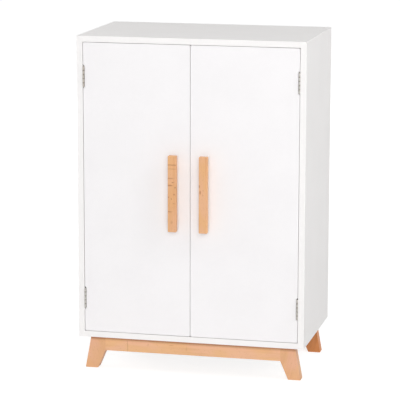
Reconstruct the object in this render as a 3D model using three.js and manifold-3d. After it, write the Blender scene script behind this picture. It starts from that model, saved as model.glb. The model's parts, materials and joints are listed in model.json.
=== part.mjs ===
// A two-door storage cabinet of doll's furniture size, on two beech leg frames.
// Units are millimetres, +Z is up and the doors face -Y.
// The white boards are joined with dowels, the two shelves lie on steel pins, and each flush door
// turns on two mortised butt hinges whose knuckles interleave on a pin.

import * as THREE from 'three';
import { mergeVertices } from 'three/addons/utils/BufferGeometryUtils.js';
import Module from 'manifold-3d';

const wasm = await Module();
wasm.setup();

// Cabinet
const CABINET_WIDTH = 340;
const CABINET_DEPTH = 204;
const CABINET_HEIGHT = 450;
const PANEL_THICKNESS = 9;
const BACK_THICKNESS = 3;
const REBATE_WIDTH = 5;
const CORNER_ROUND = 1.2;
const EDGE_ROUND = 0.5;

// Leg frames
const LEG_HEIGHT = 50;
const LEG_THICKNESS = 15;
const LEG_SETBACK = 12.5;
const LEG_TOP_MARGIN = 15.4;
const LEG_FOOT_MARGIN = 6.2;
const LEG_FOOT_WIDTH = 19;
const FOOT_ROUND = 1;
const RAIL_HEIGHT = 22.5;
const RAIL_END_MARGIN = 37;

// Doors
const DOOR_THICKNESS = 9;
const DOOR_GAP = 0.6;
const DOOR_CORNER = 2;

// Butt hinges
const HINGE_LENGTH = 30;
const HINGE_END_MARGIN = 35;
const KNUCKLE_COUNT = 5;
const KNUCKLE_RADIUS = 1.25;
const KNUCKLE_GAP = 0.3;
const KNUCKLE_ROOM = 0.6;
const HINGE_PIN_RADIUS = 0.5;
const HINGE_PIN_CLEARANCE = 0.12;
const LEAF_THICKNESS = 0.75;
const FRAME_LEAF_REACH = 9;
const DOOR_LEAF_REACH = 7.6;
const LEAF_SLOT_CLEARANCE = 0.25;
const AXIS_PROUD = 0.6;
const HINGE_SCREW_RADIUS = 1.1;
const HINGE_SCREW_HEAD = 1.8;
const HINGE_SCREW_PITCH = 18;

// Handles
const HANDLE_LENGTH = 112;
const HANDLE_WIDTH = 12.3;
const HANDLE_THICKNESS = 9;
const HANDLE_ROUND = 0.9;
const HANDLE_END_ROUND = 0.6;
const HANDLE_STANDOFF = 9;
const HANDLE_INSET = 16.9;
const SPACER_RADIUS = 3.5;
const SPACER_END_MARGIN = 18;
const HANDLE_SCREW_RADIUS = 1.5;
const HANDLE_SCREW_BITE = 5.5;
const HANDLE_SCREW_HEAD = 3;
const HANDLE_SCREW_HEAD_HEIGHT = 1.8;

// Shelves and their pins
const SHELF_NAMES = ['lower', 'upper'];
const SHELF_THICKNESS = 9;
const SHELF_END_CLEARANCE = 0.5;
const SHELF_FRONT_SETBACK = 5;
const SHELF_PIN_RADIUS = 2;
const SHELF_PIN_DEPTH = 6;
const SHELF_PIN_COLLAR = 3.2;
const SHELF_PIN_COLLAR_THICKNESS = 1;
const SHELF_PIN_NOSE = 7;
const SHELF_PIN_FLAT = 1.2;
const SHELF_PIN_INSET = 30;
const SHELF_HOLE_STEP = 16;

// Dowels and base screws
const FIT = 0.25;
const DOWEL_RADIUS = 2.5;
const DOWEL_LENGTH = 20;
const DOWEL_DEPTH_IN_SIDE = 6;
const DOWEL_INSET = 32;
const BASE_SCREW_RADIUS = 1.75;
const BASE_SCREW_LENGTH = 24;
const BASE_SCREW_HEAD = 3.6;
const BASE_SCREW_INSET = 40;
const CROSS_RECESS_WIDTH = 0.8;
const CROSS_RECESS_DEPTH = 1.1;
const CROSS_RECESS_REACH = 0.55;

// Magnetic catch
const CATCH_WIDTH = 46;
const CATCH_DEPTH = 14;
const CATCH_HEIGHT = 14;
const CATCH_ROUND = 2;
const CATCH_GAP = 0.4;
const CATCH_SCREW_RADIUS = 1.6;
const CATCH_SCREW_INSET = 4;
const MAGNET_WIDTH = 13;
const MAGNET_HEIGHT = 6;
const MAGNET_PROUD = 0.5;
const STRIKE_WIDTH = 14;
const STRIKE_HEIGHT = 8;
const STRIKE_THICKNESS = 1;
const STRIKE_ROUND = 1;
const STRIKE_INSET = 3;
const STRIKE_SCREW_RADIUS = 1.2;
const STRIKE_SCREW_HEAD = 2.1;

// How finely the round forms are made, and how far a cutting tool runs past a face
const BARREL_SIDES = 12;
const ROUND_SIDES = 10;
const WELD_DISTANCE = 1e-4;
const PAST = 1;

// Places that several pieces share, from the middle of the cabinet's front plane at its underside
const handleReach = HANDLE_STANDOFF + HANDLE_THICKNESS;
const sideX = CABINET_WIDTH / 2;
const innerX = sideX - PANEL_THICKNESS;
const innerTop = CABINET_HEIGHT - PANEL_THICKNESS;
const backFront = CABINET_DEPTH - BACK_THICKNESS;
const jointX = sideX - RAIL_END_MARGIN;
const frameYs = { front: LEG_SETBACK, rear: CABINET_DEPTH - LEG_SETBACK - LEG_THICKNESS };
const dowelYs = { front: DOWEL_INSET, rear: CABINET_DEPTH - DOWEL_INSET };
const dowelZs = { bottom: PANEL_THICKNESS / 2, top: CABINET_HEIGHT - PANEL_THICKNESS / 2 };
const baseScrewX = jointX - BASE_SCREW_INSET;
const shelfFront = DOOR_THICKNESS + SHELF_FRONT_SETBACK;
const shelfBack = backFront - SHELF_END_CLEARANCE;
const shelfPinYs = { front: shelfFront + SHELF_PIN_INSET, rear: shelfBack - SHELF_PIN_INSET };
const shelfCount = SHELF_NAMES.length;
const clearHeight = innerTop - PANEL_THICKNESS - shelfCount * SHELF_THICKNESS;
const compartmentHeight = clearHeight / (shelfCount + 1);
const shelfBottoms = SHELF_NAMES.map(
  (_, i) => PANEL_THICKNESS + (i + 1) * compartmentHeight + i * SHELF_THICKNESS,
);

// Places on the left door, where x and y are measured from its hinge axis
const hingeX = innerX - KNUCKLE_RADIUS;
const doorEdge = DOOR_GAP - KNUCKLE_RADIUS;
const doorMeeting = hingeX - DOOR_GAP / 2;
const doorBottom = PANEL_THICKNESS + DOOR_GAP;
const doorTop = innerTop - DOOR_GAP;
const doorMiddle = (doorBottom + doorTop) / 2;
const doorInside = AXIS_PROUD + DOOR_THICKNESS;
const hingeZs = {
  lower: doorBottom + HINGE_END_MARGIN + HINGE_LENGTH / 2,
  upper: doorTop - HINGE_END_MARGIN - HINGE_LENGTH / 2,
};
const handleX = hingeX - HANDLE_INSET - HANDLE_WIDTH / 2;
const handleBack = AXIS_PROUD - HANDLE_STANDOFF;
const handleScrewOffset = HANDLE_LENGTH / 2 - SPACER_END_MARGIN;
const handleScrewZs = {
  lower: doorMiddle - handleScrewOffset,
  upper: doorMiddle + handleScrewOffset,
};
const strikeX = doorMeeting - STRIKE_INSET - STRIKE_WIDTH / 2;
const catchZ = innerTop - CATCH_HEIGHT / 2;

const LOOKS = {
  white: { color: 0xf7f5f6, roughness: 0.45, metalness: 0 },
  backing: { color: 0xefedea, roughness: 0.6, metalness: 0 },
  beech: { color: 0xe6b184, roughness: 0.5, metalness: 0 },
  birch: { color: 0xdcc39a, roughness: 0.7, metalness: 0 },
  steel: { color: 0x9b9994, roughness: 0.35, metalness: 0.9 },
  zinc: { color: 0xb9bab8, roughness: 0.3, metalness: 0.9 },
  plastic: { color: 0xf0efec, roughness: 0.4, metalness: 0 },
};

// An outline's own directions, and a turned form's axis, laid along those of the cabinet
const X = new THREE.Vector3(1, 0, 0);
const Y = new THREE.Vector3(0, 1, 0);
const Z = new THREE.Vector3(0, 0, 1);
const OUTLINE_XY = new THREE.Matrix4();
const OUTLINE_XZ = new THREE.Matrix4().makeBasis(X, Z, Y);
const OUTLINE_YZ = new THREE.Matrix4().makeBasis(Y, Z, X);
const AXIS_X = new THREE.Matrix4().makeBasis(Y, X, Z);
const AXIS_Y = new THREE.Matrix4();
const AXIS_Z = new THREE.Matrix4().makeBasis(X, Z, Y);

// One closed skin: shared corners merged, empty triangles left out, faces turned outwards
function welded(geometry) {
  const bare = geometry.clone();
  bare.deleteAttribute('normal');
  bare.deleteAttribute('uv');
  const skin = mergeVertices(bare, WELD_DISTANCE);
  const [a, b, c] = [new THREE.Vector3(), new THREE.Vector3(), new THREE.Vector3()];
  const triangles = [];
  let volume = 0;
  for (let i = 0; i < skin.index.count; i += 3) {
    const [p, q, r] = [0, 1, 2].map((k) => skin.index.getX(i + k));
    if (p !== q && q !== r && r !== p) {
      triangles.push([p, q, r]);
      a.fromBufferAttribute(skin.attributes.position, p);
      b.fromBufferAttribute(skin.attributes.position, q);
      c.fromBufferAttribute(skin.attributes.position, r);
      volume += a.dot(b.cross(c));
    }
  }
  skin.setIndex((volume < 0 ? triangles.map((corners) => corners.reverse()) : triangles).flat());
  return skin;
}

function toSolid(geometry) {
  const skin = welded(geometry);
  return new wasm.Manifold(new wasm.Mesh({
    numProp: 3,
    vertProperties: new Float32Array(skin.attributes.position.array),
    triVerts: new Uint32Array(skin.index.array),
  }));
}

function toGeometry(solid) {
  const mesh = solid.getMesh();
  const geometry = new THREE.BufferGeometry();
  geometry.setAttribute('position', new THREE.BufferAttribute(mesh.vertProperties, 3));
  geometry.setIndex(new THREE.BufferAttribute(mesh.triVerts, 1));
  return geometry;
}

function cut(geometry, tools) {
  return toGeometry(tools.reduce((solid, tool) => solid.subtract(toSolid(tool)), toSolid(geometry)));
}

function join(geometry, others) {
  return toGeometry(others.reduce((solid, other) => solid.add(toSolid(other)), toSolid(geometry)));
}

// The same form for the other hand
function mirrored(geometry) {
  return welded(welded(geometry).scale(-1, 1, 1));
}

function block(low, high) {
  const geometry = new THREE.BoxGeometry(1, 1, 1);
  const corners = geometry.attributes.position;
  for (let i = 0; i < corners.count; i += 1) {
    const at = [0, 1, 2].map((k) => (corners.getComponent(i, k) < 0 ? low[k] : high[k]));
    corners.setXYZ(i, ...at);
  }
  return geometry;
}

// An outline from its corners, each [u, v, round]
function outline(corners) {
  const shape = new THREE.Shape();
  const points = corners.map(([u, v]) => new THREE.Vector2(u, v));
  corners.forEach(([u, v, round = 0], i) => {
    const towards = (other) => other.clone().sub(points[i]).setLength(round).add(points[i]);
    const start = towards(points.at(i - 1));
    const end = towards(points[(i + 1) % points.length]);
    if (i === 0) {
      shape.moveTo(start.x, start.y);
    } else {
      shape.lineTo(start.x, start.y);
    }
    if (round > 0) {
      shape.quadraticCurveTo(u, v, end.x, end.y);
    }
  });
  return shape;
}

function rectangle(u0, v0, u1, v1, round) {
  return outline([[u0, v0, round], [u1, v0, round], [u1, v1, round], [u0, v1, round]]);
}

// A board of one outline between two planes, the edges of both its faces rounded by edge
function board(shape, from, to, directions, edge = 0) {
  const geometry = new THREE.ExtrudeGeometry(shape, {
    depth: 1,
    curveSegments: 2,
    bevelEnabled: edge > 0,
    bevelSize: edge,
    bevelThickness: edge,
    bevelOffset: -edge,
    bevelSegments: 2,
  });
  const corners = geometry.attributes.position;
  for (let i = 0; i < corners.count; i += 1) {
    const w = corners.getZ(i);
    corners.setZ(i, w < 0.5 ? from + (w + edge) : to + (w - 1 - edge));
  }
  return welded(geometry.applyMatrix4(directions));
}

// A turned form from its profile, each point [radius, distance along the axis]
function turned(profile, directions, sides = ROUND_SIDES) {
  const points = profile.map(([radius, along]) => new THREE.Vector2(radius, along));
  return welded(new THREE.LatheGeometry(points, sides).applyMatrix4(directions));
}

function rod(radius, from, to, directions, sides) {
  return turned([[0, from], [radius, from], [radius, to], [0, to]], directions, sides);
}

// A right-angled countersink at top, with its bore running on through end
function countersink(mouth, top, bore, end, directions) {
  const up = Math.sign(top - end);
  return turned([
    [0, end - up * PAST],
    [bore, end - up * PAST],
    [bore, top - up * (mouth - bore)],
    [mouth, top],
    [mouth, top + up * PAST],
    [0, top + up * PAST],
  ], directions);
}

// The cross for a screwdriver, as two bars that cut down into a head's top
function crossRecess(headRadius, top, directions) {
  const reach = headRadius * CROSS_RECESS_REACH;
  const half = CROSS_RECESS_WIDTH / 2;
  const low = top - CROSS_RECESS_DEPTH;
  return [
    block([-reach, low, -half], [reach, top + PAST, half]),
    block([-half, low, -reach], [half, top + PAST, reach]),
  ].map((bar) => bar.applyMatrix4(directions));
}

// Left side board, rebated for the back and bored for the dowels and shelf pins
function sidePanel() {
  const slab = board(
    rectangle(0, 0, CABINET_DEPTH, CABINET_HEIGHT, CORNER_ROUND),
    -sideX,
    -innerX + PAST + EDGE_ROUND,
    OUTLINE_YZ,
    EDGE_ROUND,
  );
  const spare = block(
    [-innerX, -PAST, -PAST],
    [-innerX + 2 * (PAST + EDGE_ROUND), CABINET_DEPTH + PAST, CABINET_HEIGHT + PAST],
  );
  const rebate = block(
    [-innerX - REBATE_WIDTH, backFront, PANEL_THICKNESS - REBATE_WIDTH],
    [-innerX + PAST, CABINET_DEPTH + PAST, innerTop + REBATE_WIDTH],
  );
  return cut(slab, [spare, rebate, ...sideDowelHoles(), ...shelfPinHoles()]);
}

function sideDowelHoles() {
  const end = -innerX - DOWEL_DEPTH_IN_SIDE - FIT;
  const hole = rod(DOWEL_RADIUS + FIT, end, -innerX + PAST, AXIS_X);
  return Object.values(dowelZs).flatMap((z) => (
    Object.values(dowelYs).map((y) => hole.clone().translate(0, y, z))
  ));
}

function shelfPinHoles() {
  const end = -innerX - SHELF_PIN_DEPTH - FIT;
  const hole = rod(SHELF_PIN_RADIUS + FIT, end, -innerX + PAST, AXIS_X);
  return shelfBottoms.flatMap((bottom) => [-1, 0, 1].flatMap((step) => (
    Object.values(shelfPinYs).map((y) => (
      hole.clone().translate(0, y, bottom - SHELF_PIN_FLAT + step * SHELF_HOLE_STEP)
    ))
  )));
}

// Top or bottom board between the sides; outwards is 1 for the top and -1 for the bottom
function crossPanel(inner, outwards) {
  const outer = inner + outwards * PANEL_THICKNESS;
  const rebate = inner + outwards * REBATE_WIDTH;
  const shape = outline([
    [0, inner],
    [backFront, inner],
    [backFront, rebate],
    [CABINET_DEPTH, rebate],
    [CABINET_DEPTH, outer, CORNER_ROUND],
    [0, outer, CORNER_ROUND],
  ]);
  const depth = DOWEL_LENGTH - DOWEL_DEPTH_IN_SIDE + FIT;
  const z = inner + outwards * (PANEL_THICKNESS / 2);
  const hole = rod(DOWEL_RADIUS + FIT, innerX - depth, innerX + PAST, AXIS_X);
  const holes = [hole, mirrored(hole)].flatMap((end) => (
    Object.values(dowelYs).map((y) => end.clone().translate(0, y, z))
  ));
  return cut(board(shape, -innerX, innerX, OUTLINE_YZ), holes);
}

function bottomPanel() {
  const mouth = BASE_SCREW_HEAD + FIT;
  const hole = countersink(mouth, PANEL_THICKNESS, BASE_SCREW_RADIUS + FIT, 0, AXIS_Z);
  const holes = baseScrewPlaces().map(({ x, y }) => hole.clone().translate(x, y, 0));
  return cut(crossPanel(PANEL_THICKNESS, -1), holes);
}

function baseScrewPlaces() {
  return Object.entries(frameYs).flatMap(([row, y]) => [
    { name: `left_${row}`, x: -baseScrewX, y: y + LEG_THICKNESS / 2 },
    { name: `right_${row}`, x: baseScrewX, y: y + LEG_THICKNESS / 2 },
  ]);
}

function backPanel() {
  const reach = REBATE_WIDTH - FIT;
  return block(
    [-innerX - reach, backFront, PANEL_THICKNESS - reach],
    [innerX + reach, CABINET_DEPTH, innerTop + reach],
  );
}

function shelf(bottom) {
  const end = innerX - SHELF_END_CLEARANCE;
  const shape = rectangle(shelfFront, bottom, shelfBack, bottom + SHELF_THICKNESS, EDGE_ROUND);
  return board(shape, -end, end, OUTLINE_YZ);
}

// Shelf pin for the left side on its own axis, with the flat that carries the shelf
function shelfPin() {
  const noseEnd = SHELF_PIN_COLLAR_THICKNESS + SHELF_PIN_NOSE;
  const pin = turned([
    [0, -SHELF_PIN_DEPTH],
    [SHELF_PIN_RADIUS, -SHELF_PIN_DEPTH],
    [SHELF_PIN_RADIUS, 0],
    [SHELF_PIN_COLLAR, 0],
    [SHELF_PIN_COLLAR, SHELF_PIN_COLLAR_THICKNESS],
    [SHELF_PIN_RADIUS, SHELF_PIN_COLLAR_THICKNESS],
    [SHELF_PIN_RADIUS, noseEnd - SHELF_PIN_RADIUS / 2],
    [SHELF_PIN_RADIUS / 2, noseEnd],
    [0, noseEnd],
  ], AXIS_X);
  const above = block(
    [0, -SHELF_PIN_COLLAR - PAST, SHELF_PIN_FLAT],
    [noseEnd + PAST, SHELF_PIN_COLLAR + PAST, SHELF_PIN_COLLAR + PAST],
  );
  return cut(pin, [above]);
}

// Dowel from its end in the left side board
function dowel() {
  const chamfer = DOWEL_RADIUS / 4;
  return turned([
    [0, 0],
    [DOWEL_RADIUS - chamfer, 0],
    [DOWEL_RADIUS, chamfer],
    [DOWEL_RADIUS, DOWEL_LENGTH - chamfer],
    [DOWEL_RADIUS - chamfer, DOWEL_LENGTH],
    [0, DOWEL_LENGTH],
  ], AXIS_X);
}

// Left leg, raked outwards and tapered to the foot, its upright face glued to the rail's end
function leg(front) {
  const footOuter = -sideX + LEG_FOOT_MARGIN;
  const shape = outline([
    [-sideX + LEG_TOP_MARGIN, 0],
    [footOuter, -LEG_HEIGHT, FOOT_ROUND],
    [footOuter + LEG_FOOT_WIDTH, -LEG_HEIGHT, FOOT_ROUND],
    [-jointX, -RAIL_HEIGHT],
    [-jointX, 0],
  ]);
  return board(shape, front, front + LEG_THICKNESS, OUTLINE_XZ);
}

function rail(front) {
  const end = PANEL_THICKNESS - BASE_SCREW_LENGTH - FIT;
  const hole = rod(BASE_SCREW_RADIUS + FIT, end, PAST, AXIS_Z);
  const y = front + LEG_THICKNESS / 2;
  return cut(
    block([-jointX, front, -RAIL_HEIGHT], [jointX, front + LEG_THICKNESS, 0]),
    [-baseScrewX, baseScrewX].map((x) => hole.clone().translate(x, y, 0)),
  );
}

// Countersunk screw that hangs down from the top of its head
function baseScrew() {
  const screw = turned([
    [0, -BASE_SCREW_LENGTH],
    [BASE_SCREW_RADIUS, -BASE_SCREW_LENGTH + 2 * BASE_SCREW_RADIUS],
    [BASE_SCREW_RADIUS, BASE_SCREW_RADIUS - BASE_SCREW_HEAD],
    [BASE_SCREW_HEAD, 0],
    [0, 0],
  ], AXIS_Z);
  return cut(screw, crossRecess(BASE_SCREW_HEAD, 0, AXIS_Z));
}

// Left door, mortised for two hinge leaves and bored for the screws of its handle
function door() {
  const shape = rectangle(doorEdge, doorBottom, doorMeeting, doorTop, DOOR_CORNER);
  const bore = rod(HANDLE_SCREW_RADIUS + FIT, AXIS_PROUD - PAST, doorInside + PAST, AXIS_Y);
  const bores = Object.values(handleScrewZs).map((z) => bore.clone().translate(handleX, 0, z));
  const slab = board(shape, AXIS_PROUD, doorInside, OUTLINE_XZ, EDGE_ROUND);
  return cut(slab, [...Object.values(hingeZs).flatMap(mortise), ...bores]);
}

// The notch in the door's edge for a hinge at height z: the leaf's seat through the whole door, and
// in front a wider one that leaves room round the knuckles
function mortise(z) {
  return [
    notch(z, 0, doorInside + PAST),
    notch(z, KNUCKLE_ROOM, KNUCKLE_RADIUS + KNUCKLE_ROOM),
  ];
}

// A cut from the door's front to end, with slanted ends and room more than the hinge itself takes
function notch(z, room, end) {
  const bottom = KNUCKLE_RADIUS + room;
  const half = HINGE_LENGTH / 2 + FIT + room;
  const mouth = half + bottom - doorEdge + PAST;
  const shape = outline([
    [doorEdge - PAST, z - mouth],
    [bottom, z - half],
    [bottom, z + half],
    [doorEdge - PAST, z + mouth],
  ]);
  return board(shape, AXIS_PROUD - PAST, end, OUTLINE_XZ);
}

// Where a knuckle starts and ends along the hinge
function knuckleSpan(index) {
  const pitch = HINGE_LENGTH / KNUCKLE_COUNT;
  const start = index * pitch - HINGE_LENGTH / 2;
  const first = index === 0;
  const last = index === KNUCKLE_COUNT - 1;
  return [start + (first ? 0 : KNUCKLE_GAP / 2), start + pitch - (last ? 0 : KNUCKLE_GAP / 2)];
}

// Hinge leaf on the door's side of the axis, carrying every second knuckle from the first given
function hingeLeaf(reach, firstKnuckle) {
  const inner = KNUCKLE_RADIUS - LEAF_THICKNESS;
  const slotEnd = KNUCKLE_RADIUS + LEAF_SLOT_CLEARANCE;
  const half = HINGE_LENGTH / 2;
  const barrels = [];
  const slots = [];
  for (let index = 0; index < KNUCKLE_COUNT; index += 1) {
    const [start, end] = knuckleSpan(index);
    if (index % 2 === firstKnuckle) {
      barrels.push(rod(KNUCKLE_RADIUS, start, end, AXIS_Z, BARREL_SIDES));
    } else {
      const low = index === 0 ? -half - PAST : start - KNUCKLE_GAP;
      const high = index === KNUCKLE_COUNT - 1 ? half + PAST : end + KNUCKLE_GAP;
      slots.push(block([inner - PAST, -PAST, low], [KNUCKLE_RADIUS + PAST, slotEnd, high]));
    }
  }
  const plate = cut(block([inner, 0, -half], [KNUCKLE_RADIUS, reach, half]), slots);
  const bore = rod(
    HINGE_PIN_RADIUS + HINGE_PIN_CLEARANCE,
    -half - PAST,
    half + PAST,
    AXIS_Z,
    BARREL_SIDES,
  );
  const screwHole = countersink(HINGE_SCREW_HEAD, inner, HINGE_SCREW_RADIUS, KNUCKLE_RADIUS, AXIS_X);
  const holes = [-1, 1].map((end) => (
    screwHole.clone().translate(0, (slotEnd + reach) / 2, end * (HINGE_SCREW_PITCH / 2))
  ));
  return cut(join(plate, barrels), [bore, ...holes]);
}

function hingePin() {
  const chamfer = HINGE_PIN_RADIUS / 3;
  const half = HINGE_LENGTH / 2;
  return turned([
    [0, -half],
    [HINGE_PIN_RADIUS - chamfer, -half],
    [HINGE_PIN_RADIUS, chamfer - half],
    [HINGE_PIN_RADIUS, half - chamfer],
    [HINGE_PIN_RADIUS - chamfer, half],
    [0, half],
  ], AXIS_Z);
}

// Handle bar, held off the door and bored from behind for its screws
function handle() {
  const shape = rectangle(
    handleX - HANDLE_WIDTH / 2,
    handleBack - HANDLE_THICKNESS,
    handleX + HANDLE_WIDTH / 2,
    handleBack,
    HANDLE_ROUND,
  );
  const half = HANDLE_LENGTH / 2;
  const bar = board(shape, doorMiddle - half, doorMiddle + half, OUTLINE_XY, HANDLE_END_ROUND);
  const end = handleBack - HANDLE_SCREW_BITE - FIT;
  const hole = rod(HANDLE_SCREW_RADIUS + FIT, end, handleBack + PAST, AXIS_Y);
  return cut(bar, Object.values(handleScrewZs).map((z) => hole.clone().translate(handleX, 0, z)));
}

// Turned spacer that holds the bar off the door, around its screw
function handleSpacer() {
  const bore = HANDLE_SCREW_RADIUS + FIT;
  return turned([
    [bore, handleBack],
    [SPACER_RADIUS, handleBack],
    [SPACER_RADIUS, AXIS_PROUD],
    [bore, AXIS_PROUD],
    [bore, handleBack],
  ], AXIS_Y);
}

// Pan head screw from inside the door, through door and spacer into the bar
function handleScrew() {
  const tip = handleBack - HANDLE_SCREW_BITE;
  const top = doorInside + HANDLE_SCREW_HEAD_HEIGHT;
  const screw = turned([
    [0, tip],
    [HANDLE_SCREW_RADIUS, tip + HANDLE_SCREW_RADIUS],
    [HANDLE_SCREW_RADIUS, doorInside],
    [HANDLE_SCREW_HEAD, doorInside],
    [HANDLE_SCREW_HEAD, top - HANDLE_SCREW_HEAD_HEIGHT / 3],
    [HANDLE_SCREW_HEAD * 0.7, top],
    [0, top],
  ], AXIS_Y);
  return cut(screw, crossRecess(HANDLE_SCREW_HEAD, top, AXIS_Y));
}

// Housing of the double magnetic catch under the top board, its magnets just proud of its front
function catchHousing() {
  const front = DOOR_THICKNESS + STRIKE_THICKNESS + CATCH_GAP + MAGNET_PROUD;
  const half = CATCH_WIDTH / 2;
  const bottom = innerTop - CATCH_HEIGHT;
  const body = board(
    rectangle(-half, front, half, front + CATCH_DEPTH, CATCH_ROUND),
    bottom,
    innerTop,
    OUTLINE_XY,
  );
  const magnet = block(
    [-hingeX + strikeX - MAGNET_WIDTH / 2, front - MAGNET_PROUD, catchZ - MAGNET_HEIGHT / 2],
    [-hingeX + strikeX + MAGNET_WIDTH / 2, front + PAST, catchZ + MAGNET_HEIGHT / 2],
  );
  const hole = rod(CATCH_SCREW_RADIUS, bottom - PAST, innerTop + PAST, AXIS_Z)
    .translate(CATCH_SCREW_INSET - half, front + CATCH_DEPTH / 2, 0);
  return cut(join(body, [magnet, mirrored(magnet)]), [hole, mirrored(hole)]);
}

// Steel plate on the inside of the left door that its magnet holds
function strikePlate() {
  const shape = rectangle(
    strikeX - STRIKE_WIDTH / 2,
    catchZ - STRIKE_HEIGHT / 2,
    strikeX + STRIKE_WIDTH / 2,
    catchZ + STRIKE_HEIGHT / 2,
    STRIKE_ROUND,
  );
  const back = doorInside + STRIKE_THICKNESS;
  const hole = countersink(STRIKE_SCREW_HEAD, back, STRIKE_SCREW_RADIUS, doorInside, AXIS_Y);
  return cut(board(shape, doorInside, back, OUTLINE_XZ), [hole.translate(strikeX, 0, catchZ)]);
}

function add(group, name, geometry, look, x = 0, y = 0, z = 0) {
  const mesh = new THREE.Mesh(geometry, new THREE.MeshStandardMaterial(LOOKS[look]));
  mesh.name = name;
  mesh.position.set(x, y, z);
  group.add(mesh);
}

// What has one of its kind, or one at each level or row
function addMiddle(cabinet) {
  add(cabinet, 'top_panel', crossPanel(innerTop, 1), 'white');
  add(cabinet, 'bottom_panel', bottomPanel(), 'white');
  add(cabinet, 'back_panel', backPanel(), 'backing');
  SHELF_NAMES.forEach((level, i) => add(cabinet, `${level}_shelf`, shelf(shelfBottoms[i]), 'white'));
  for (const [row, front] of Object.entries(frameYs)) {
    add(cabinet, `${row}_rail`, rail(front), 'beech');
  }
  for (const { name, x, y } of baseScrewPlaces()) {
    add(cabinet, `${name}_base_screw`, baseScrew(), 'zinc', x, y, PANEL_THICKNESS);
  }
  add(cabinet, 'catch_housing', catchHousing(), 'plastic');
}

// What the cabinet has on each hand; side is -1 on the left and 1 on the right
function addSide(cabinet, hand, side, handed) {
  add(cabinet, `${hand}_side_panel`, handed(sidePanel()), 'white');
  for (const [row, front] of Object.entries(frameYs)) {
    add(cabinet, `${row}_${hand}_leg`, handed(leg(front)), 'beech');
  }
  const dowelX = side * (innerX + DOWEL_DEPTH_IN_SIDE);
  for (const [level, z] of Object.entries(dowelZs)) {
    for (const [row, y] of Object.entries(dowelYs)) {
      add(cabinet, `${hand}_${level}_${row}_dowel`, handed(dowel()), 'birch', dowelX, y, z);
    }
  }
  SHELF_NAMES.forEach((level, i) => {
    const z = shelfBottoms[i] - SHELF_PIN_FLAT;
    for (const [row, y] of Object.entries(shelfPinYs)) {
      const name = `${hand}_${level}_${row}_shelf_pin`;
      add(cabinet, name, handed(shelfPin()), 'zinc', side * innerX, y, z);
    }
  });
}

// A door with all that it carries, in a group that turns about the hinge axis
function addDoor(pivot, hand, side, handed) {
  add(pivot, `${hand}_door`, handed(door()), 'white');
  add(pivot, `${hand}_handle`, handed(handle()), 'beech');
  add(pivot, `${hand}_strike_plate`, handed(strikePlate()), 'steel');
  for (const [level, z] of Object.entries(handleScrewZs)) {
    add(pivot, `${hand}_${level}_handle_spacer`, handleSpacer(), 'beech', -side * handleX, 0, z);
    add(pivot, `${hand}_${level}_handle_screw`, handleScrew(), 'zinc', -side * handleX, 0, z);
  }
}

// A hinge: the leaf on the side board and the pin stay with the cabinet, the other leaf turns
function addHinge(cabinet, pivot, name, z, handed) {
  const frameLeaf = mirrored(hingeLeaf(FRAME_LEAF_REACH, 0));
  const axis = new THREE.Group();
  axis.position.copy(pivot.position).setZ(z);
  cabinet.add(axis);
  add(axis, `${name}_hinge_frame_leaf`, handed(frameLeaf), 'steel');
  add(axis, `${name}_hinge_pin`, hingePin(), 'steel');
  add(pivot, `${name}_hinge_door_leaf`, handed(hingeLeaf(DOOR_LEAF_REACH, 1)), 'steel', 0, 0, z);
}

function buildCabinet() {
  const cabinet = new THREE.Group();
  cabinet.position.set(0, (handleReach - CABINET_DEPTH) / 2, LEG_HEIGHT);
  addMiddle(cabinet);
  for (const [hand, side] of [['left', -1], ['right', 1]]) {
    const handed = side < 0 ? (geometry) => geometry : mirrored;
    const pivot = new THREE.Group();
    pivot.position.set(side * hingeX, -AXIS_PROUD, 0);
    cabinet.add(pivot);
    addSide(cabinet, hand, side, handed);
    addDoor(pivot, hand, side, handed);
    for (const [level, z] of Object.entries(hingeZs)) {
      addHinge(cabinet, pivot, `${hand}_${level}`, z, handed);
    }
  }
  return cabinet;
}

const part = new THREE.Group();
part.add(buildCabinet());

export default part;
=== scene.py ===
# Looks of the two-door cabinet: finishes, small fasteners, floor, lights and camera.
# Units are metres, +Z is up, the doors face -Y and the floor is at height 0.

import json
import math

import bpy
from mathutils import Matrix, Vector


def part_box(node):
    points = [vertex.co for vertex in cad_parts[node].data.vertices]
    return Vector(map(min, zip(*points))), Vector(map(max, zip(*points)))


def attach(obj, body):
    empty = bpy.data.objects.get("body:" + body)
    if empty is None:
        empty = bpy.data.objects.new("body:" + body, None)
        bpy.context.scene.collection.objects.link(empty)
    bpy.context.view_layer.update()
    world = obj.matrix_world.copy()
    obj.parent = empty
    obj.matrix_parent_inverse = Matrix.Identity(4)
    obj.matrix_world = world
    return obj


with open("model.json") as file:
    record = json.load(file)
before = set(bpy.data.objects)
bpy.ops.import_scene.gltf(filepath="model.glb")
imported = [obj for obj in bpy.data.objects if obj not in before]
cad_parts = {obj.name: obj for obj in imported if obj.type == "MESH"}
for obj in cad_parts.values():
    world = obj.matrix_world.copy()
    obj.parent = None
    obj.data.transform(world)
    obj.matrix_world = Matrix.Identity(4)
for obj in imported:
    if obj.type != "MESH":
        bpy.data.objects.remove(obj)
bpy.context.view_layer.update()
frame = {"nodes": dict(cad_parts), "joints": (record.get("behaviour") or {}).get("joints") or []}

MM = 0.001
HANDS = {"left": -1, "right": 1}
ENDS = {"bottom": -1, "top": 1}
LEVELS = ("lower", "upper")
ROWS = ("front", "rear")

# Camera, fitted to the corners of the body, the doors, the handles and the feet
CAMERA_PLACE = (0.7059, -3.0299, 0.8401)
CAMERA_YAW = math.radians(13.242)
CAMERA_PITCH = math.radians(10.790)
CAMERA_ROLL = math.radians(0.093)
CAMERA_LENS = 190.29
CAMERA_SENSOR = 36.0
CAMERA_RANGE = 100.0

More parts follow.
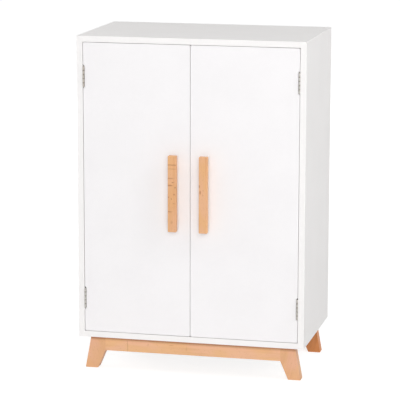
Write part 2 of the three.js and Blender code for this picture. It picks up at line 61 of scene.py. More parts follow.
# Studio; each lamp is (name, azimuth, elevation, distance, size, power), with azimuth 0 in front and
# positive to the right, in degrees, metres and watts
WORLD_LIGHT = 0.26
LAMPS = (
    ("front_box", 12, 16, 3.6, 2.0, 64),
    ("right_box", 78, 38, 2.8, 1.6, 29),
    ("left_box", -78, 36, 2.8, 1.6, 18),
    ("back_box", 215, 5, 3.0, 1.0, 39),
)
LAMP_TARGET = (0, 0, 0.25)

# Floor: the light that it throws on the cabinet, and how it looks itself, a diffuse part that takes the
# shadow and a glow that grows with the distance from the cabinet
FLOOR_SIZE = 12.0
FLOOR_BOUNCE = 0.8
FLOOR_SEEN = 0.36
FLOOR_GLOW = (0.79, 0.92)
GLOW_REACH = (0.5, 1.3)

# Colours as they look in plain light, in sRGB parts of 255
FRAME_LIGHT = (248, 246, 245)
FRAME_DARK = (246, 244, 243)
DOOR_LIGHT = (247, 245, 246)
DOOR_DARK = (245, 243, 244)
BACK_LIGHT = (243, 241, 238)
BACK_DARK = (239, 237, 233)
NICKEL_LIGHT = (190, 187, 182)
NICKEL_DARK = (164, 161, 155)
NICKEL_WORN = (166, 158, 148)
# The dark of the painted shade between the hinges' knuckles
KNUCKLE_GAP_SHADE = (60, 56, 52)
ZINC_LIGHT = (206, 208, 210)
ZINC_DARK = (184, 187, 190)
PLASTIC_LIGHT = (243, 242, 239)
PLASTIC_DARK = (236, 235, 231)
FERRITE_LIGHT = (74, 73, 72)
FERRITE_DARK = (48, 47, 47)

# Tints of the woods, each (gold, rose, dark, fleck); the rear tints are darker as painted shade under
# the cabinet, the darkest on the rear right leg
BEECH = ((236, 186, 137), (238, 187, 150), (222, 166, 120), (176, 114, 70))
LEG_BEECH = ((229, 177, 132), (232, 179, 145), (215, 158, 116), (172, 110, 68))
BAR_BEECH = ((228, 175, 123), (229, 176, 134), (215, 156, 107), (170, 108, 62))
REAR_SHADED_BEECH = ((229, 168, 114), (231, 172, 126), (208, 144, 96), (162, 100, 56))
DEEP_SHADED_BEECH = ((217, 141, 83), (219, 145, 90), (186, 110, 58), (146, 84, 42))
BIRCH = ((228, 205, 166), (230, 208, 174), (205, 176, 132), (190, 158, 114))
RAIL_TINTS = {"front": BEECH, "rear": REAR_SHADED_BEECH}
LEG_TINTS = {
    "front_left_leg": LEG_BEECH,
    "front_right_leg": LEG_BEECH,
    "rear_left_leg": REAR_SHADED_BEECH,
    "rear_right_leg": DEEP_SHADED_BEECH,
}

# Roughness, from the shiniest to the dullest places
PAINT_ROUGH = (0.60, 0.72)
WOOD_ROUGH = (0.42, 0.56)
NICKEL_ROUGH = (0.44, 0.58)
ZINC_ROUGH = (0.34, 0.48)
PLASTIC_ROUGH = (0.30, 0.42)
FERRITE_ROUGH = (0.45, 0.60)

# Noises, in lumps per metre; three numbers are for three directions, the last one along the grain
PAINT_DRIFT = 14
PAINT_CLOUD = 160
PAINT_PEEL = 900
WOOD_RINGS = (230, 90, 5)
WOOD_FIBRE = (2600, 2600, 90)
WOOD_BROAD = (45, 45, 14)
WOOD_DRIFT = (60, 60, 25)
WOOD_RAYS = (1000, 1000, 240)
WOOD_RAGGED = 420
METAL_CLOUD = 420
METAL_WEAR = 9
NICKEL_STREAKS = (900, 900, 60)
ZINC_STREAKS = (500, 500, 500)
MOULDED_GRAIN = 1900
MOULDED_CLOUD = 90

# Spans of noise over which one colour turns into another, and how far the rays and the wear go at most
PAINT_MOTTLE = (0.36, 0.64)
WOOD_BANDS = (0.30, 0.56)
WOOD_ROSY = (0.36, 0.64)
RAY_LENS = (0.10, 0.34)
RAY_CHANCE = (0.55, 0.95)
RAY_STRENGTH = 0.42
METAL_MOTTLE = (0.35, 0.65)
METAL_WORN = (0.50, 0.66)
WORN_STRENGTH = 0.7
MOULDED_MOTTLE = (0.35, 0.65)

# Bumps, each (depth, strength)
PAINT_BUMP = (0.01 * MM, 0.4)
WOOD_BUMP = (0.03 * MM, 0.5)
METAL_BUMP = (0.01 * MM, 0.5)
MOULDED_BUMP = (0.02 * MM, 0.6)

# Ways that the grain runs: up, along the rails, and down the raked legs
UPRIGHT = (0.0, 0.0, 0.0)
LENGTHWAYS = (0.0, math.pi / 2, 0.0)
RAKE = math.radians(14)

# Marks in the wood, each (x, z, half width, half height, strength), in millimetres and a strength up to
# 1, with how far their ragged edges stray and how deep they reach
HANDLE_SPOTS = {
    "left": (
        (-23.0, 318.0, 40.0, 1.4, 0.52),
        (-23.0, 312.3, 30.0, 1.2, 0.28),
        (-25.5, 298.3, 8.0, 1.5, 0.48),
        (-26.5, 288.0, 7.0, 1.6, 0.72),
        (-26.8, 249.2, 5.5, 1.3, 0.60),
        (-21.6, 292.4, 2.4, 1.2, 0.72),
        (-17.9, 285.1, 1.4, 2.0, 0.75),
        (-19.6, 274.8, 1.7, 1.8, 0.75),
        (-28.0, 270.4, 1.1, 1.6, 0.75),
        (-23.6, 268.0, 1.1, 2.0, 0.70),
        (-20.2, 261.4, 2.6, 1.1, 0.40),
        (-23.1, 233.6, 2.2, 3.9, 0.30),
    ),
    "right": (
        (17.7, 288.2, 1.7, 2.9, 0.75),
        (19.2, 279.4, 1.4, 4.6, 0.75),
        (23.4, 282.2, 1.2, 1.2, 0.42),
        (23.2, 275.0, 1.4, 1.4, 0.34),
    ),
}
RAIL_SPOTS = (
    (-98.6, 39.0, 0.8, 40.0, 0.40),
    (-67.0, 40.0, 1.8, 3.2, 0.18),
    (-31.5, 41.0, 5.5, 0.9, 0.40),
    (-8.5, 37.0, 1.8, 4.5, 0.20),
)
RAGGED_REACH = 1.2 * MM
SPOT_DEPTH = 3 * MM

# Painted shade at the top of the leg frames, under the overhang of the board above, the same all along
# them
SEAM_SHADE_LENGTH = 500 * MM
SEAM_SHADE_REACH = 8.5 * MM
SEAM_SHADE_STRENGTH = 1.0

# Painted shade in the gaps between the knuckles of the hinges
KNUCKLES = 5
KNUCKLE_GAP_SHADE_RADII = (4 * MM, 4 * MM, 0.9 * MM)
KNUCKLE_GAP_SHADE_STRENGTH = 0.85

# Edges: how far doubled corners are merged, which edges are sharp, and how wide they are rounded
MERGE_REACH = 0.002 * MM
SHARP_ANGLE = math.radians(40)
ROUNDED_ANGLE = math.radians(50)
FLAT_FACE_WEIGHT = 80
WOOD_EDGE = 0.3 * MM
BACK_EDGE = 0.2 * MM
PLATE_EDGE = 0.1 * MM
MAGNET_EDGE = 0.04 * MM

# Screws, each (head radius, shank radius, length, cone under the seat, dome over the seat)
HINGE_SCREW = (1.72 * MM, 1.0 * MM, 8 * MM, 0.68 * MM, 0.0)
STRIKE_SCREW = (2.0 * MM, 1.1 * MM, 7 * MM, 0.86 * MM, 0.0)
CATCH_SCREW = (2.9 * MM, 1.4 * MM, 20 * MM, 0.0, 1.5 * MM)
SCREW_SEAT_GAP = 0.04 * MM

# Cross recess of a screw, in head radii
RECESS_WIDTH = 0.14
RECESS_REACH = 0.58
RECESS_DEPTH = 0.42

# Hinge leaves: the side of the joint that each is on, 1 outwards, and how far its screws are from the
# hinge's axis
HINGE_AXES = {joint["child"]: joint["pos_m"] for joint in frame["joints"]}
LEAF_SIDES = {"frame": 1, "door": -1}
LEAF_THICKNESS = 0.75 * MM
LEAF_SCREW_REACH = {"frame": 5.25 * MM, "door": 4.55 * MM}
LEAF_SCREW_PITCH = 18 * MM

# Catch
CATCH_SCREW_INSET = 4 * MM
MAGNET_WIDTH = 13 * MM
MAGNET_HEIGHT = 6 * MM
MAGNET_PROUD = 0.5 * MM
MAGNET_COVER = 0.1 * MM
POLE_PLATE = 1.1 * MM

# Pins that hold the back panel
NAIL_LENGTH = 12 * MM
NAIL_POINT = 1.5 * MM
NAIL_SHANK = 0.6 * MM
NAIL_HEAD = 1.25 * MM
NAIL_PITCH = 84 * MM
NAIL_SIDES = 16
REBATE_LEDGE = 2.35 * MM


def linear(colour):
    """An sRGB colour in parts of 255 as the linear RGBA that Blender's sockets hold."""
    parts = [part / 255 for part in colour]
    return [p / 12.92 if p <= 0.04045 else ((p + 0.055) / 1.055) ** 2.4 for p in parts] + [1.0]


def grey(level):
    """A grey that throws back this part of the light, as linear RGBA."""
    return (level, level, level, 1.0)


# Node trees

class Tree:
    """A node tree with short calls; an input takes another node's socket or a plain value."""

    def __init__(self, owner):
        owner.use_nodes = True
        self.tree = owner.node_tree
        self.tree.nodes.clear()

    def add(self, kind, inputs=None, **settings):
        node = self.tree.nodes.new(kind)
        for name, value in settings.items():
            setattr(node, name, value)
        for name, value in (inputs or {}).items():
            self.feed(node.inputs[name], value)
        return node

    def feed(self, socket, value):
        if isinstance(value, bpy.types.NodeSocket):
            self.tree.links.new(value, socket)
        else:
            socket.default_value = value

    def calc(self, operation, *values):
        inputs = dict(enumerate(values))
        return self.add("ShaderNodeMath", inputs, operation=operation).outputs[0]

    def calc_vector(self, operation, *values):
        inputs = dict(enumerate(values))
        return self.add("ShaderNodeVectorMath", inputs, operation=operation).outputs["Vector"]

    def length(self, vector):
        return self.add("ShaderNodeVectorMath", {0: vector}, operation="LENGTH").outputs["Value"]

    def total(self, *parts):
        """The sum of sockets, each with its weight."""
        result = 0.0
        for socket, weight in parts:
            result = self.calc("MULTIPLY_ADD", socket, weight, result)
        return result

    def ramp(self, value, low, high, at_low=0.0, at_high=1.0):
        """A smooth step: at_low where the value is under low, at_high where it is over high."""
        inputs = dict(enumerate((value, low, high, at_low, at_high)))
        node = self.add("ShaderNodeMapRange", inputs, interpolation_type="SMOOTHSTEP")
        return node.outputs[0]

    def blend(self, factor, first, second):
        """The first colour where the factor is 0, the second where it is 1.

        The Mix node has its colours at inputs 6 and 7 and at output 2.
        """
        node = self.add("ShaderNodeMix", data_type="RGBA")
        self.feed(node.inputs["Factor"], factor)
        self.feed(node.inputs[6], first)
        self.feed(node.inputs[7], second)
        return node.outputs[2]

    def noise(self, vector, scale, detail=2.0, distortion=0.0):
        """Cloudy noise from 0 to 1, mostly from 0.3 to 0.7, with scale lumps in a unit of length."""
        inputs = {"Vector": vector, "Scale": scale, "Detail": detail, "Distortion": distortion}
        return self.add("ShaderNodeTexNoise", inputs).outputs["Fac"]

    def roughness(self, noise, shiny, dull):
        """Roughness from shiny to dull over the range that most of a noise fills."""
        return self.ramp(noise, 0.3, 0.7, shiny, dull)

    def stretch(self, vector, scale, turn=(0.0, 0.0, 0.0), shift=(0.0, 0.0, 0.0)):
        """The vector turned, then scaled along each of its own directions and shifted."""
        turned = self.add("ShaderNodeMapping", {"Vector": vector, "Rotation": turn}).outputs[0]
        inputs = {"Vector": turned, "Location": shift, "Scale": scale}
        return self.add("ShaderNodeMapping", inputs).outputs[0]

    def own_place(self):
        """Where a point is on its piece, in metres."""
        return self.add("ShaderNodeTexCoord").outputs["Object"]

    def wander(self, vector, scale, reach):
        """The vector with each point moved a little, so that what is drawn on it gets ragged edges."""
        cloud = self.add("ShaderNodeTexNoise", {"Vector": vector, "Scale": scale, "Detail": 2.0})
        centred = self.calc_vector("SUBTRACT", cloud.outputs["Color"], (0.5, 0.5, 0.5))
        return self.calc_vector("MULTIPLY_ADD", centred, (reach, reach, reach), vector)

    def spot(self, place, centre, radii, strength):
        """An oval cloud: its full strength in the inner 0.3 of its radii, and none past them."""
        share = self.calc_vector("DIVIDE", self.calc_vector("SUBTRACT", place, centre), radii)
        return self.ramp(self.length(share), 0.3, 1.0, strength, 0.0)

    def bump(self, height, depth, strength):
        inputs = {"Height": height, "Distance": depth, "Strength": strength}
        return self.add("ShaderNodeBump", inputs).outputs[0]

    def surface(self, colour, roughness, normal, **fixed):
        """Ends the tree in a principled surface; fixed values are set on the shader itself."""
        inputs = {"Base Color": colour, "Roughness": roughness, "Normal": normal, **fixed}
        shader = self.add("ShaderNodeBsdfPrincipled", inputs)
        self.add("ShaderNodeOutputMaterial", {"Surface": shader.outputs[0]})


# Finishes

def painted(name, light, dark):
    """Sprayed white paint: a fine orange peel, and shine and shade that drift a little."""
    material = bpy.data.materials.new(name)
    tree = Tree(material)
    place = tree.own_place()
    drift = tree.noise(place, PAINT_DRIFT, detail=3.0)
    cloud = tree.noise(place, PAINT_CLOUD, detail=4.0)
    peel = tree.noise(place, PAINT_PEEL)
    shade = tree.total((drift, 0.7), (cloud, 0.3))
    colour = tree.blend(tree.ramp(shade, *PAINT_MOTTLE), linear(dark), linear(light))
    roughness = tree.roughness(cloud, *PAINT_ROUGH)
    tree.surface(colour, roughness, tree.bump(peel, *PAINT_BUMP), IOR=1.48)
    return material


def wood(name, tints, turn, shift=(0.0, 0.0, 0.0), marks=()):
    """Lacquered wood whose grain runs along the turned Z, cut from the place that shift gives.

    The tints drift from gold to rose and darken in soft bands along the grain. Each mark is a spot,
    (centre, radii, strength), that goes towards the fleck's tint.
    """
    gold, rose, dark, fleck = [linear(tint) for tint in tints]
    material = bpy.data.materials.new(name)
    tree = Tree(material)
    place = tree.own_place()
    other_place = [part + 5.3 for part in shift]
    rings = tree.noise(tree.stretch(place, WOOD_RINGS, turn, shift), 1.0, detail=3.0, distortion=0.4)
    fibre = tree.noise(tree.stretch(place, WOOD_FIBRE, turn, shift), 1.0)
    broad = tree.noise(tree.stretch(place, WOOD_BROAD, turn, shift), 1.0)
    drift = tree.noise(tree.stretch(place, WOOD_DRIFT, turn, other_place), 1.0, detail=1.0)
    shade = tree.total((rings, 0.38), (fibre, 0.27), (broad, 0.35))
    clear = tree.blend(tree.ramp(drift, *WOOD_ROSY), gold, rose)
    colour = tree.blend(tree.ramp(shade, *WOOD_BANDS), dark, clear)
    flecks = ray_flecks(tree, place, turn, shift)
    ragged = tree.wander(place, WOOD_RAGGED, RAGGED_REACH)
    # The marks hold real flecks and joints, and on the leg frames also a painted shade under the board
    # above.
    for mark in marks:
        flecks = tree.calc("MAXIMUM", flecks, tree.spot(ragged, *mark))
    colour = tree.blend(flecks, colour, fleck)
    roughness = tree.roughness(fibre, *WOOD_ROUGH)
    tree.surface(colour, roughness, tree.bump(fibre, *WOOD_BUMP), IOR=1.45)
    return material


def ray_flecks(tree, place, turn, shift):
    """The rays of the wood: lens forms about 2 mm long along the grain and 0.5 mm wide across it."""
    lens = tree.stretch(place, WOOD_RAYS, turn, shift)
    cells = tree.add("ShaderNodeTexVoronoi", {"Vector": lens, "Scale": 1.0})
    inside = tree.ramp(cells.outputs["Distance"], *RAY_LENS, 1.0, 0.0)
    chance = tree.add("ShaderNodeSeparateColor", {"Color": cells.outputs["Color"]}).outputs[0]
    return tree.calc("MULTIPLY", inside, tree.ramp(chance, *RAY_CHANCE, 0.0, RAY_STRENGTH))


def metal(name, light, dark, worn, rough, streaks, marks=()):
    """Plated metal with faint streaks, cloudy shine, a few warmer, worn places and marks of painted
    shade.
    """
    material = bpy.data.materials.new(name)
    tree = Tree(material)
    place = tree.own_place()
    streak = tree.noise(tree.stretch(place, streaks), 1.0, detail=3.0)
    cloud = tree.noise(place, METAL_CLOUD, detail=3.0)
    wear = tree.noise(place, METAL_WEAR, detail=4.0)
    colour = tree.blend(tree.ramp(cloud, *METAL_MOTTLE), linear(dark), linear(light))
    colour = tree.blend(tree.ramp(wear, *METAL_WORN, 0.0, WORN_STRENGTH), colour, linear(worn))
    # Each mark paints shade into the colour.
    for mark in marks:
        colour = tree.blend(tree.spot(place, *mark), colour, linear(KNUCKLE_GAP_SHADE))
    roughness = tree.roughness(streak, *rough)
    tree.surface(colour, roughness, tree.bump(streak, *METAL_BUMP), Metallic=1.0)
    return material


def moulded(name, light, dark, rough):
    """Moulded plastic or pressed ferrite with a fine sparked grain."""
    material = bpy.data.materials.new(name)
    tree = Tree(material)
    place = tree.own_place()
    grain = tree.noise(place, MOULDED_GRAIN, detail=3.0)
    cloud = tree.noise(place, MOULDED_CLOUD)
    colour = tree.blend(tree.ramp(cloud, *MOULDED_MOTTLE), linear(dark), linear(light))
    roughness = tree.roughness(grain, *rough)
    tree.surface(colour, roughness, tree.bump(grain, *MOULDED_BUMP), IOR=1.5)
    return material


# Edges of the pieces

def smooth_group():
    """Merges doubled corners and shades smoothly everywhere but across sharp edges."""
    group = bpy.data.node_groups.new("smooth_but_sharp", "GeometryNodeTree")
    group.interface.new_socket("Geometry", in_out="INPUT", socket_type="NodeSocketGeometry")
    group.interface.new_socket("Geometry", in_out="OUTPUT", socket_type="NodeSocketGeometry")
    start = group.nodes.new("NodeGroupInput")
    end = group.nodes.new("NodeGroupOutput")
    merge = group.nodes.new("GeometryNodeMergeByDistance")
    merge.inputs["Distance"].default_value = MERGE_REACH
    bare = group.nodes.new("GeometryNodeRemoveAttribute")
    bare.inputs["Name"].default_value = "custom_normal"
    smooth = group.nodes.new("GeometryNodeSetShadeSmooth")
    angle = group.nodes.new("GeometryNodeInputMeshEdgeAngle")
    blunt = group.nodes.new("FunctionNodeCompare")
    blunt.data_type = "FLOAT"
    blunt.operation = "LESS_THAN"
    blunt.inputs["B"].default_value = SHARP_ANGLE
    edges = group.nodes.new("GeometryNodeSetShadeSmooth")
    edges.domain = "EDGE"
    for source, target in (
        (start.outputs[0], merge.inputs["Geometry"]),
        (merge.outputs[0], bare.inputs["Geometry"]),
        (bare.outputs[0], smooth.inputs["Geometry"]),
        (smooth.outputs[0], edges.inputs["Geometry"]),
        (angle.outputs["Unsigned Angle"], blunt.inputs["A"]),
        (blunt.outputs[0], edges.inputs["Shade Smooth"]),
        (edges.outputs[0], end.inputs[0]),
    ):
        group.links.new(source, target)
    return group


SMOOTH = smooth_group()


def soften(piece, edge):
    """Rounds the piece's sharp edges by this width and keeps its flat faces flat to the light."""
    piece.modifiers.new("smooth", "NODES").node_group = SMOOTH
    if edge:
        bevel = piece.modifiers.new("edges", "BEVEL")
        bevel.width = edge
        bevel.segments = 2
        bevel.limit_method = "ANGLE"
        bevel.angle_limit = ROUNDED_ANGLE
        bevel.use_clamp_overlap = True
    normals = piece.modifiers.new("normals", "WEIGHTED_NORMAL")
    normals.keep_sharp = True
    normals.weight = FLAT_FACE_WEIGHT


def finish_node(name, material, edge=0.0):
    node = frame["nodes"][name]
    for slot in node.material_slots:
        slot.material = material
    soften(node, edge)


# Meshes of the small fasteners

def recess_angles(half_width, reach):
    """Angles round a screw's head, with a corner at each corner of its cross recess."""
    corner = math.atan2(half_width, reach)
    quarter = [-corner, 0.0, corner, (corner + math.pi / 4) / 2, math.pi / 4]
    quarter.append(math.pi / 2 - quarter[3])
    return [step * math.pi / 2 + angle for step in range(4) for angle in quarter]


def cross_ring(angles, half_width, reach, height):
    """The outline of a cross whose arms are this wide and long, with one point at each angle."""
    points = []
    for angle in angles:
        along = max(abs(math.cos(angle)), abs(math.sin(angle)))
        aside = min(abs(math.cos(angle)), abs(math.sin(angle)))
        radius = reach / along
        if aside * radius > half_width * 1.001:
            radius = half_width / aside
        points.append((radius * math.cos(angle), radius * math.sin(angle), height))
    return points


def round_ring(angles, radius, height):
    return [(radius * math.cos(a), radius * math.sin(a), height) for a in angles]


def skinned(name, rings):
    """A closed mesh over rings of equal counts, its first and last ring closed by one face each."""
    count = len(rings[0])
    corners = [point for ring in rings for point in ring]
    faces = []
    for start in range(0, len(corners) - count, count):
        for i in range(count):
            j = (i + 1) % count
            faces.append((start + i, start + j, start + count + j, start + count + i))
    faces.append(tuple(reversed(range(count))))
    faces.append(tuple(range(len(corners) - count, len(corners))))
    mesh = bpy.data.meshes.new(name)
    mesh.from_pydata(corners, [], faces)
    return mesh


def screw_mesh(name, head, shank, length, cone, dome):
    """A cross-recessed screw along Z with its seat at height 0."""
    half_width = head * RECESS_WIDTH
    reach = head * RECESS_REACH
    depth = head * RECESS_DEPTH
    angles = recess_angles(half_width, reach)
    return skinned(name, [
        round_ring(angles, shank * 0.1, -length),
        round_ring(angles, shank, -length + 2.2 * shank),
        round_ring(angles, shank, -cone),
        round_ring(angles, head, 0.0),
        round_ring(angles, head * 0.97, dome * 0.45),
        round_ring(angles, head * 0.80, dome * 0.9),
        cross_ring(angles, half_width, reach, dome),
        cross_ring(angles, half_width * 0.7, reach * 0.75, dome - depth * 0.8),
        cross_ring(angles, half_width * 0.4, half_width * 0.41, dome - depth),
    ])


def nail_mesh():
    """A panel pin along Z, with its small flat head on its seat at height 0."""
    angles = [step * math.tau / NAIL_SIDES for step in range(NAIL_SIDES)]
    return skinned("back_nail", [
        round_ring(angles, 0.1 * MM, -NAIL_LENGTH),
        round_ring(angles, NAIL_SHANK, -NAIL_LENGTH + NAIL_POINT),
        round_ring(angles, NAIL_SHANK, -0.6 * MM),
        round_ring(angles, NAIL_HEAD, 0.0),
        round_ring(angles, NAIL_HEAD, 0.12 * MM),
        round_ring(angles, NAIL_HEAD - 0.2 * MM, 0.22 * MM),
        round_ring(angles, 0.2 * MM, 0.24 * MM),
    ])


def bar_mesh(name, low, high):
    """A bar between two corners, as rings up its height."""
    (x0, y0, z0), (x1, y1, z1) = low, high
    outline = [(x0, y0), (x1, y0), (x1, y1), (x0, y1)]
    return skinned(name, [[(x, y, z) for x, y in outline] for z in (z0, z1)])


# Pieces that the solids leave out

def place_piece(name, mesh, body, material, at=(0, 0, 0), facing=(0, 0, 1), edge=0.0):
    """Puts a mesh at a place on a body, with its own Z turned to the direction that it faces."""
    piece = bpy.data.objects.new(name, mesh)
    bpy.context.scene.collection.objects.link(piece)
    turn = Vector((0, 0, 1)).rotation_difference(Vector(facing)).to_matrix().to_4x4()
    piece.matrix_world = Matrix.Translation(at) @ turn
    if not mesh.materials:
        mesh.materials.append(material)
    soften(piece, edge)
    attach(piece, body)


def place_fastener(name, mesh, body, at, facing):
    place_piece(name, mesh, body, ZINC, at=at, facing=facing)


def leaf_screws(mesh, hand, level, leaf, body):
    """The two screws of a hinge leaf, with their heads towards the other leaf."""
    axis_y = HINGE_AXES[f"{hand}_door"][1]
    outwards = HANDS[hand] * LEAF_SIDES[leaf]
    low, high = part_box(f"{hand}_{level}_hinge_{leaf}_leaf")
    far_face = max(outwards * low.x, outwards * high.x)
    x = outwards * (far_face - (LEAF_THICKNESS - SCREW_SEAT_GAP))
    for end, up in ENDS.items():
        at = (x, axis_y + LEAF_SCREW_REACH[leaf], (low.z + high.z) / 2 + up * LEAF_SCREW_PITCH / 2)
        place_fastener(f"{hand}_{level}_{leaf}_leaf_{end}_screw", mesh, body, at, (-outwards, 0, 0))


def hinge_screws():
    mesh = screw_mesh("hinge_screw", *HINGE_SCREW)
    for hand in HANDS:
        for level in LEVELS:
            leaf_screws(mesh, hand, level, "frame", "cabinet")
            leaf_screws(mesh, hand, level, "door", f"{hand}_door")


def strike_screws():
    mesh = screw_mesh("strike_screw", *STRIKE_SCREW)
    for hand in HANDS:
        low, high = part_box(f"{hand}_strike_plate")
        at = ((low.x + high.x) / 2, high.y - SCREW_SEAT_GAP, (low.z + high.z) / 2)
        place_fastener(f"{hand}_strike_screw", mesh, f"{hand}_door", at, (0, 1, 0))


def catch_screws():
    """Screws up through the housing, in the middle of its depth behind the stubs of the magnets."""
    mesh = screw_mesh("catch_screw", *CATCH_SCREW)
    low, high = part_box("catch_housing")
    middle_y = (low.y + MAGNET_PROUD + high.y) / 2
    for hand, side in HANDS.items():
        at = (side * (high.x - CATCH_SCREW_INSET), middle_y, low.z)
        place_fastener(f"{hand}_catch_screw", mesh, "cabinet", at, (0, 0, -1))


def magnets():
    """For each door a ferrite magnet between two pole plates, over the stub on the catch's front."""
    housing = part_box("catch_housing")[0]
    front = housing.y - MAGNET_COVER
    back = housing.y + MAGNET_PROUD
    half_height = MAGNET_HEIGHT / 2 + MAGNET_COVER
    pole = half_height - POLE_PLATE
    for hand in HANDS:
        low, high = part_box(f"{hand}_strike_plate")
        x, z = (low.x + high.x) / 2, (low.z + high.z) / 2
        x0, x1 = x - MAGNET_WIDTH / 2 - MAGNET_COVER, x + MAGNET_WIDTH / 2 + MAGNET_COVER
        for name, z0, z1, inset, slot, material in (
            ("lower_pole_plate", z - half_height, z - pole, 0.0, "zinc_steel", ZINC),
            ("magnet", z - pole, z + pole, MAGNET_COVER / 2, "catch_plastic", FERRITE),
            ("upper_pole_plate", z + pole, z + half_height, 0.0, "zinc_steel", ZINC),
        ):
            mesh = bar_mesh(f"{hand}_{name}", (x0 + inset, front + inset, z0), (x1 - inset, back, z1))
            place_piece(f"{hand}_{name}", mesh, "cabinet", material, edge=MAGNET_EDGE)


def back_nails():
    """Panel pins round the back panel, evenly spaced over the ledge of its rebate."""
    mesh = nail_mesh()
    low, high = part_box("back_panel")
    left, right = low.x + REBATE_LEDGE, high.x - REBATE_LEDGE
    bottom, top = low.z + REBATE_LEDGE, high.z - REBATE_LEDGE
    across = max(2, round((right - left) / NAIL_PITCH))
    upright = max(2, round((top - bottom) / NAIL_PITCH))
    places = []
    for step in range(across + 1):
        x = left + (right - left) * step / across
        places += [(x, bottom), (x, top)]
    for step in range(1, upright):
        z = bottom + (top - bottom) * step / upright
        places += [(left, z), (right, z)]
    for index, (x, z) in enumerate(places):
        place_fastener(f"back_nail_{index + 1:02}", mesh, "cabinet", (x, high.y, z), (0, 1, 0))


# Stage

def seen(tree):
    """1 where the camera, a reflection or a clear piece looks, 0 where only light arrives."""
    path = tree.add("ShaderNodeLightPath").outputs
    direct = tree.calc("MAXIMUM", path["Is Camera Ray"], path["Is Glossy Ray"])
    return tree.calc("MAXIMUM", direct, path["Is Transmission Ray"])


def studio():
    world = bpy.data.worlds.new("studio")
    bpy.context.scene.world = world
    tree = Tree(world)
    light = tree.add("ShaderNodeBackground", {"Color": grey(1), "Strength": WORLD_LIGHT})
    white = tree.add("ShaderNodeBackground", {"Color": grey(1), "Strength": 1.0})
    mix = tree.add("ShaderNodeMixShader", {0: seen(tree), 1: light.outputs[0], 2: white.outputs[0]})
    tree.add("ShaderNodeOutputWorld", {"Surface": mix.outputs[0]})


def floor_material():
    material = bpy.data.materials.new("white_floor")
    tree = Tree(material)
    bounce = tree.add("ShaderNodeBsdfDiffuse", {"Color": grey(FLOOR_BOUNCE)})
    shaded = tree.add("ShaderNodeBsdfDiffuse", {"Color": grey(FLOOR_SEEN)})
    strength = tree.ramp(tree.length(tree.own_place()), *GLOW_REACH, *FLOOR_GLOW)
    glow = tree.add("ShaderNodeEmission", {"Color": grey(1), "Strength": strength})
    look = tree.add("ShaderNodeAddShader", {0: shaded.outputs[0], 1: glow.outputs[0]})
    mix = tree.add("ShaderNodeMixShader", {0: seen(tree), 1: bounce.outputs[0], 2: look.outputs[0]})
    tree.add("ShaderNodeOutputMaterial", {"Surface": mix.outputs[0]})
    return material


def white_floor():
    half = FLOOR_SIZE / 2
    corners = [(-half, -half, 0), (half, -half, 0), (half, half, 0), (-half, half, 0)]
    mesh = bpy.data.meshes.new("floor")
    mesh.from_pydata(corners, [], [(0, 1, 2, 3)])
    mesh.materials.append(floor_material())
    floor = bpy.data.objects.new("floor", mesh)
    bpy.context.scene.collection.objects.link(floor)


def soft_box(name, azimuth, elevation, distance, size, power):
    """A square lamp that looks at the cabinet's middle."""
    a, e = math.radians(azimuth), math.radians(elevation)
    away = Vector((math.sin(a) * math.cos(e), -math.cos(a) * math.cos(e), math.sin(e)))
    data = bpy.data.lights.new(name, "AREA")
    data.shape = "SQUARE"
    data.size = size
    data.energy = power
    lamp = bpy.data.objects.new(name, data)
    lamp.location = Vector(LAMP_TARGET) + away * distance
    lamp.rotation_mode = "QUATERNION"
    lamp.rotation_quaternion = away.to_track_quat("Z", "Y")
    bpy.context.scene.collection.objects.link(lamp)


def camera():
    data = bpy.data.cameras.new("camera")
    data.lens = CAMERA_LENS
    data.sensor_width = CAMERA_SENSOR
    data.clip_end = CAMERA_RANGE
    eye = bpy.data.objects.new("camera", data)
    eye.matrix_world = (
        Matrix.Translation(CAMERA_PLACE)
        @ Matrix.Rotation(CAMERA_YAW, 4, "Z")
        @ Matrix.Rotation(math.pi / 2 - CAMERA_PITCH, 4, "X")
        @ Matrix.Rotation(CAMERA_ROLL, 4, "Z")
    )
    bpy.context.scene.collection.objects.link(eye)
    bpy.context.scene.camera = eye


# The finished object

FRAME_BOARDS = (
    "top_panel",
    "bottom_panel",
    "left_side_panel",
    "right_side_panel",
    "lower_shelf",
    "upper_shelf",
)
NICKEL_LOOK = (NICKEL_LIGHT, NICKEL_DARK, NICKEL_WORN, NICKEL_ROUGH, NICKEL_STREAKS)

FRAME_PAINT = painted("painted_board", FRAME_LIGHT, FRAME_DARK)
DOOR_PAINT = painted("painted_door", DOOR_LIGHT, DOOR_DARK)
BACKING = painted("back_board", BACK_LIGHT, BACK_DARK)
DOWEL_BIRCH = wood("dowel_birch", BIRCH, LENGTHWAYS)
NICKEL = metal("hinge_steel", *NICKEL_LOOK)
ZINC = metal("zinc_steel", ZINC_LIGHT, ZINC_DARK, ZINC_DARK, ZINC_ROUGH, ZINC_STREAKS)
PLASTIC = moulded("catch_plastic", PLASTIC_LIGHT, PLASTIC_DARK, PLASTIC_ROUGH)
FERRITE = moulded("ferrite", FERRITE_LIGHT, FERRITE_DARK, FERRITE_ROUGH)


def spot_row(y, spots):
    """Marks near the plane y from rows of (x, z, half width, half height, strength)."""
    return [((x * MM, y, z * MM), (w * MM, SPOT_DEPTH, h * MM), s) for x, z, w, h, s in spots]


def handle_marks(hand):
    """Cross lines, knots and flecks on the front of a handle's bar."""
    return spot_row(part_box(f"{hand}_handle")[0].y, HANDLE_SPOTS[hand])


def seam_shade_mark(node):
    """Painted shade along the top of a piece of the leg frame, under the board above it."""
    low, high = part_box(node)
    middle = (low + high) / 2
    return ((middle.x, middle.y, high.z), (SEAM_SHADE_LENGTH, SEAM_SHADE_LENGTH, SEAM_SHADE_REACH), SEAM_SHADE_STRENGTH)


def rail_marks(row):
    """The rail's painted shade under the board above, its glue joint and a few flecks on its front."""
    rail = f"{row}_rail"
    return [seam_shade_mark(rail)] + spot_row(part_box(rail)[0].y, RAIL_SPOTS)


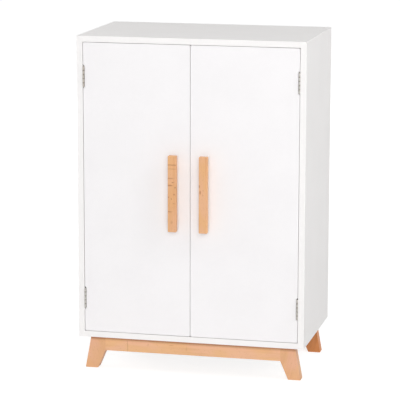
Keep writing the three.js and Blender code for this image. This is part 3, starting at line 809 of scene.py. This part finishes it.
def knuckle_gap_shade_marks(hand, level):
    """Painted shade in the gaps between a hinge's knuckles."""
    low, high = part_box(f"{hand}_{level}_hinge_pin")
    middle = (low + high) / 2
    pitch = (high.z - low.z) / KNUCKLES
    heights = [middle.z + (step - KNUCKLES / 2) * pitch for step in range(1, KNUCKLES)]
    return [((middle.x, middle.y, z), KNUCKLE_GAP_SHADE_RADII, KNUCKLE_GAP_SHADE_STRENGTH) for z in heights]


def dress_boards():
    for name in FRAME_BOARDS:
        finish_node(name, FRAME_PAINT)
    for hand in HANDS:
        finish_node(f"{hand}_door", DOOR_PAINT)
    finish_node("back_panel", BACKING, BACK_EDGE)


def dress_leg_frames():
    """Rails and legs, each with its own wood, so that no two pieces have the same grain."""
    for number, row in enumerate(ROWS):
        rail = f"{row}_rail"
        shift = (2.1 + 7.7 * number, 4.3, 1.9)
        beech = wood(f"beech_{rail}", RAIL_TINTS[row], LENGTHWAYS, shift, rail_marks(row))
        finish_node(rail, beech, WOOD_EDGE)
        for hand, side in HANDS.items():
            leg = f"{row}_{hand}_leg"
            turn = (0.0, -side * RAKE, 0.0)
            shift = (6.4 * side, 3.3 + number, 8.2 * side)
            beech = wood(f"beech_{leg}", LEG_TINTS[leg], turn, shift, [seam_shade_mark(leg)])
            finish_node(leg, beech, WOOD_EDGE)


def dress_handles():
    for hand, side in HANDS.items():
        shift = (5.2 * side, 1.4, 3.6 * side)
        beech = wood(f"beech_{hand}_handle", BAR_BEECH, UPRIGHT, shift, handle_marks(hand))
        finish_node(f"{hand}_handle", beech)
        for level in LEVELS:
            finish_node(f"{hand}_{level}_handle_spacer", beech)


def dress_dowels():
    for hand in HANDS:
        for row in ROWS:
            for end in ENDS:
                finish_node(f"{hand}_{end}_{row}_dowel", DOWEL_BIRCH)


def dress_fittings():
    finish_node("catch_housing", PLASTIC)
    for hand in HANDS:
        finish_node(f"{hand}_strike_plate", NICKEL, PLATE_EDGE)
        for level in LEVELS:
            finish_node(f"{hand}_{level}_handle_screw", ZINC)
            nickel = metal(f"{hand}_{level}_hinge_steel", *NICKEL_LOOK, knuckle_gap_shade_marks(hand, level))
            for piece in ("frame_leaf", "door_leaf", "pin"):
                finish_node(f"{hand}_{level}_hinge_{piece}", nickel)
            for row in ROWS:
                finish_node(f"{hand}_{level}_{row}_shelf_pin", ZINC)
        for row in ROWS:
            finish_node(f"{hand}_{row}_base_screw", ZINC)


dress_boards()
dress_leg_frames()
dress_handles()
dress_dowels()
dress_fittings()
hinge_screws()
strike_screws()
catch_screws()
magnets()
back_nails()
studio()
white_floor()
for lamp in LAMPS:
    soft_box(*lamp)
camera()
bpy.context.scene.view_settings.view_transform = "Standard"
